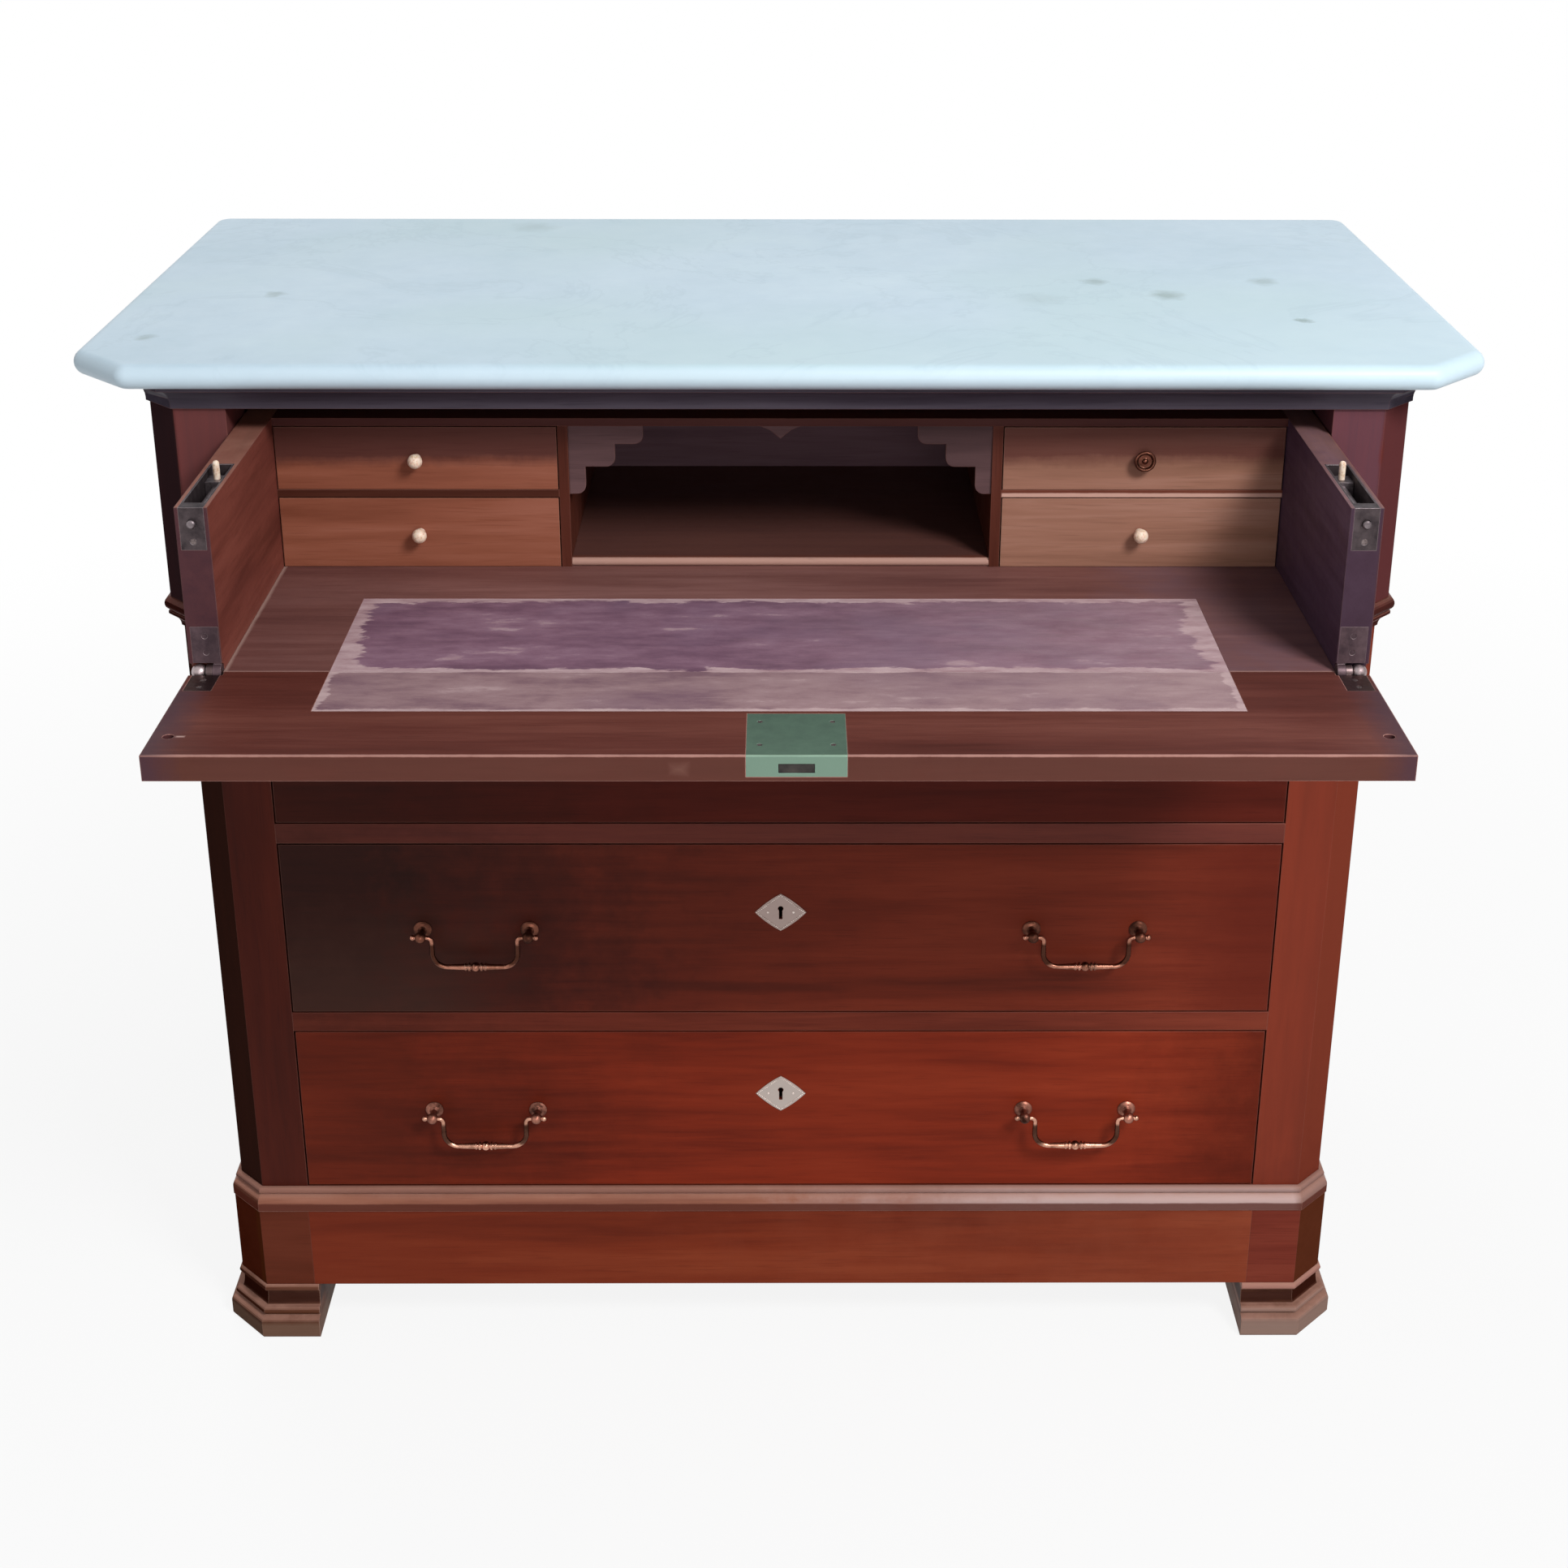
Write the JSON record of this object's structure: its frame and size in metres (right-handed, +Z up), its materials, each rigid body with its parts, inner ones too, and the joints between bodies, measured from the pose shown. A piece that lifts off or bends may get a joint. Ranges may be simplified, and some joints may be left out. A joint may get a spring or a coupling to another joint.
{
  "type": "secretary chest",
  "caption": "Mahogany chest of long drawers with a marble top, whose upper drawer pulls out and lets its front fall to make a leather-lined writing desk with small drawers.",
  "frame": {"origin": "on the floor under the middle of the piece with its writing drawer open", "axes": "+X across the front to the viewer's right, +Y to the back, +Z up"},
  "size_m": [1.209, 0.931, 1.004],
  "materials": {
    "mahogany": "french polish",
    "inner_mahogany": "satin",
    "plain_wood": "unfinished",
    "marble": "polished",
    "leather": "worn",
    "brass": "aged",
    "steel": "aged",
    "bone": "polished"
  },
  "bodies": {
    "carcass": {"marble_top": "marble", "top_moulding": "mahogany", "top_frame": "plain_wood", "side_panels": "mahogany", "back_panel": "plain_wood", "front_posts": "mahogany", "drawer_rails": "mahogany", "waist_moulding": "mahogany", "drawer_runners": "plain_wood", "bottom_board": "plain_wood", "plinth_panels": "mahogany", "plinth_blocks": "mahogany", "plinth_moulding": "mahogany", "feet_front": "mahogany", "feet_back": "mahogany"},
    "secretary": {"secretary_side_left": "mahogany", "secretary_side_right": "mahogany", "secretary_floor": "inner_mahogany", "secretary_back": "plain_wood", "writing_leather": "leather", "gallery_partitions": "inner_mahogany", "gallery_shelves": "inner_mahogany", "pigeonhole_valance": "inner_mahogany", "catch_cases": "steel", "hinge_leaves": "brass"},
    "fall": {"fall_panel": "mahogany", "fall_leather": "leather", "fall_lock": "brass", "fall_hinges": "brass"},
    "fall_bolt": {"fall_lock_bolt": "steel"},
    "catch_left": {"catch_bolt_left": "steel", "catch_button_left": "bone"},
    "catch_right": {"catch_bolt_right": "steel", "catch_button_right": "bone"},
    "small_lower_left": {"small_drawer_lower_left": "inner_mahogany", "small_knob_lower_left": "bone"},
    "small_lower_right": {"small_drawer_lower_right": "inner_mahogany", "small_knob_lower_right": "bone"},
    "small_upper_left": {"small_drawer_upper_left": "inner_mahogany", "small_knob_upper_left": "bone"},
    "small_upper_right": {"small_drawer_upper_right": "inner_mahogany", "small_knob_upper_right": "brass"},
    "lower_drawer": {"lower_drawer_front": "mahogany", "lower_drawer_box": "plain_wood", "lower_drawer_brass": "brass"},
    "lower_drawer_bolt": {"lower_drawer_lock_bolt": "steel"},
    "lower_drawer_bail_left": {"lower_drawer_bail_left": "brass"},
    "lower_drawer_bail_right": {"lower_drawer_bail_right": "brass"},
    "middle_drawer": {"middle_drawer_front": "mahogany", "middle_drawer_box": "plain_wood", "middle_drawer_brass": "brass"},
    "middle_drawer_bolt": {"middle_drawer_lock_bolt": "steel"},
    "middle_drawer_bail_left": {"middle_drawer_bail_left": "brass"},
    "middle_drawer_bail_right": {"middle_drawer_bail_right": "brass"},
    "upper_drawer": {"upper_drawer_front": "mahogany", "upper_drawer_box": "plain_wood", "upper_drawer_brass": "brass"},
    "upper_drawer_bolt": {"upper_drawer_lock_bolt": "steel"},
    "upper_drawer_bail_left": {"upper_drawer_bail_left": "brass"},
    "upper_drawer_bail_right": {"upper_drawer_bail_right": "brass"}
  },
  "joints": [
    {"name": "secretary_slide", "type": "slide", "parent": "carcass", "child": "secretary", "axis": [0, -1, 0], "range_m": [-0.218, 0]},
    {"name": "fall_hinge", "type": "hinge", "parent": "secretary", "child": "fall", "pos_m": [0, -0.306, 0.799], "axis": [-1, 0, 0], "range_deg": [0, 90]},
    {"name": "fall_bolt_slide", "type": "slide", "parent": "fall", "child": "fall_bolt", "axis": [0, -1, 0], "range_m": [0, 0.008]},
    {"name": "catch_slide_left", "type": "slide", "parent": "secretary", "child": "catch_left", "axis": [0, 1, 0], "range_m": [0, 0.006], "stiffness_N_per_m": 300, "springref_m": -0.004},
    {"name": "catch_slide_right", "type": "slide", "parent": "secretary", "child": "catch_right", "axis": [0, 1, 0], "range_m": [0, 0.006], "stiffness_N_per_m": 300, "springref_m": -0.004},
    {"name": "small_lower_left_slide", "type": "slide", "parent": "secretary", "child": "small_lower_left", "axis": [0, -1, 0], "range_m": [0, 0.18]},
    {"name": "small_lower_right_slide", "type": "slide", "parent": "secretary", "child": "small_lower_right", "axis": [0, -1, 0], "range_m": [0, 0.18]},
    {"name": "small_upper_left_slide", "type": "slide", "parent": "secretary", "child": "small_upper_left", "axis": [0, -1, 0], "range_m": [0, 0.18]},
    {"name": "small_upper_right_slide", "type": "slide", "parent": "secretary", "child": "small_upper_right", "axis": [0, -1, 0], "range_m": [0, 0.18]},
    {"name": "lower_drawer_slide", "type": "slide", "parent": "carcass", "child": "lower_drawer", "axis": [0, -1, 0], "range_m": [0, 0.38]},
    {"name": "lower_drawer_bolt_slide", "type": "slide", "parent": "lower_drawer", "child": "lower_drawer_bolt", "axis": [0, 0, 1], "range_m": [0, 0.008]},
    {"name": "lower_drawer_bail_left_hinge", "type": "hinge", "parent": "lower_drawer", "child": "lower_drawer_bail_left", "pos_m": [-0.285, -0.1185, 0.254], "axis": [-1, 0, 0], "range_deg": [-18, 80]},
    {"name": "lower_drawer_bail_right_hinge", "type": "hinge", "parent": "lower_drawer", "child": "lower_drawer_bail_right", "pos_m": [0.285, -0.1185, 0.254], "axis": [-1, 0, 0], "range_deg": [-18, 80]},
    {"name": "middle_drawer_slide", "type": "slide", "parent": "carcass", "child": "middle_drawer", "axis": [0, -1, 0], "range_m": [0, 0.38]},
    {"name": "middle_drawer_bolt_slide", "type": "slide", "parent": "middle_drawer", "child": "middle_drawer_bolt", "axis": [0, 0, 1], "range_m": [0, 0.008]},
    {"name": "middle_drawer_bail_left_hinge", "type": "hinge", "parent": "middle_drawer", "child": "middle_drawer_bail_left", "pos_m": [-0.285, -0.1185, 0.452], "axis": [-1, 0, 0], "range_deg": [-18, 80]},
    {"name": "middle_drawer_bail_right_hinge", "type": "hinge", "parent": "middle_drawer", "child": "middle_drawer_bail_right", "pos_m": [0.285, -0.1185, 0.452], "axis": [-1, 0, 0], "range_deg": [-18, 80]},
    {"name": "upper_drawer_slide", "type": "slide", "parent": "carcass", "child": "upper_drawer", "axis": [0, -1, 0], "range_m": [0, 0.38]},
    {"name": "upper_drawer_bolt_slide", "type": "slide", "parent": "upper_drawer", "child": "upper_drawer_bolt", "axis": [0, 0, 1], "range_m": [0, 0.008]},
    {"name": "upper_drawer_bail_left_hinge", "type": "hinge", "parent": "upper_drawer", "child": "upper_drawer_bail_left", "pos_m": [-0.285, -0.1185, 0.653], "axis": [-1, 0, 0], "range_deg": [-18, 80]},
    {"name": "upper_drawer_bail_right_hinge", "type": "hinge", "parent": "upper_drawer", "child": "upper_drawer_bail_right", "pos_m": [0.285, -0.1185, 0.653], "axis": [-1, 0, 0], "range_deg": [-18, 80]}
  ]
}
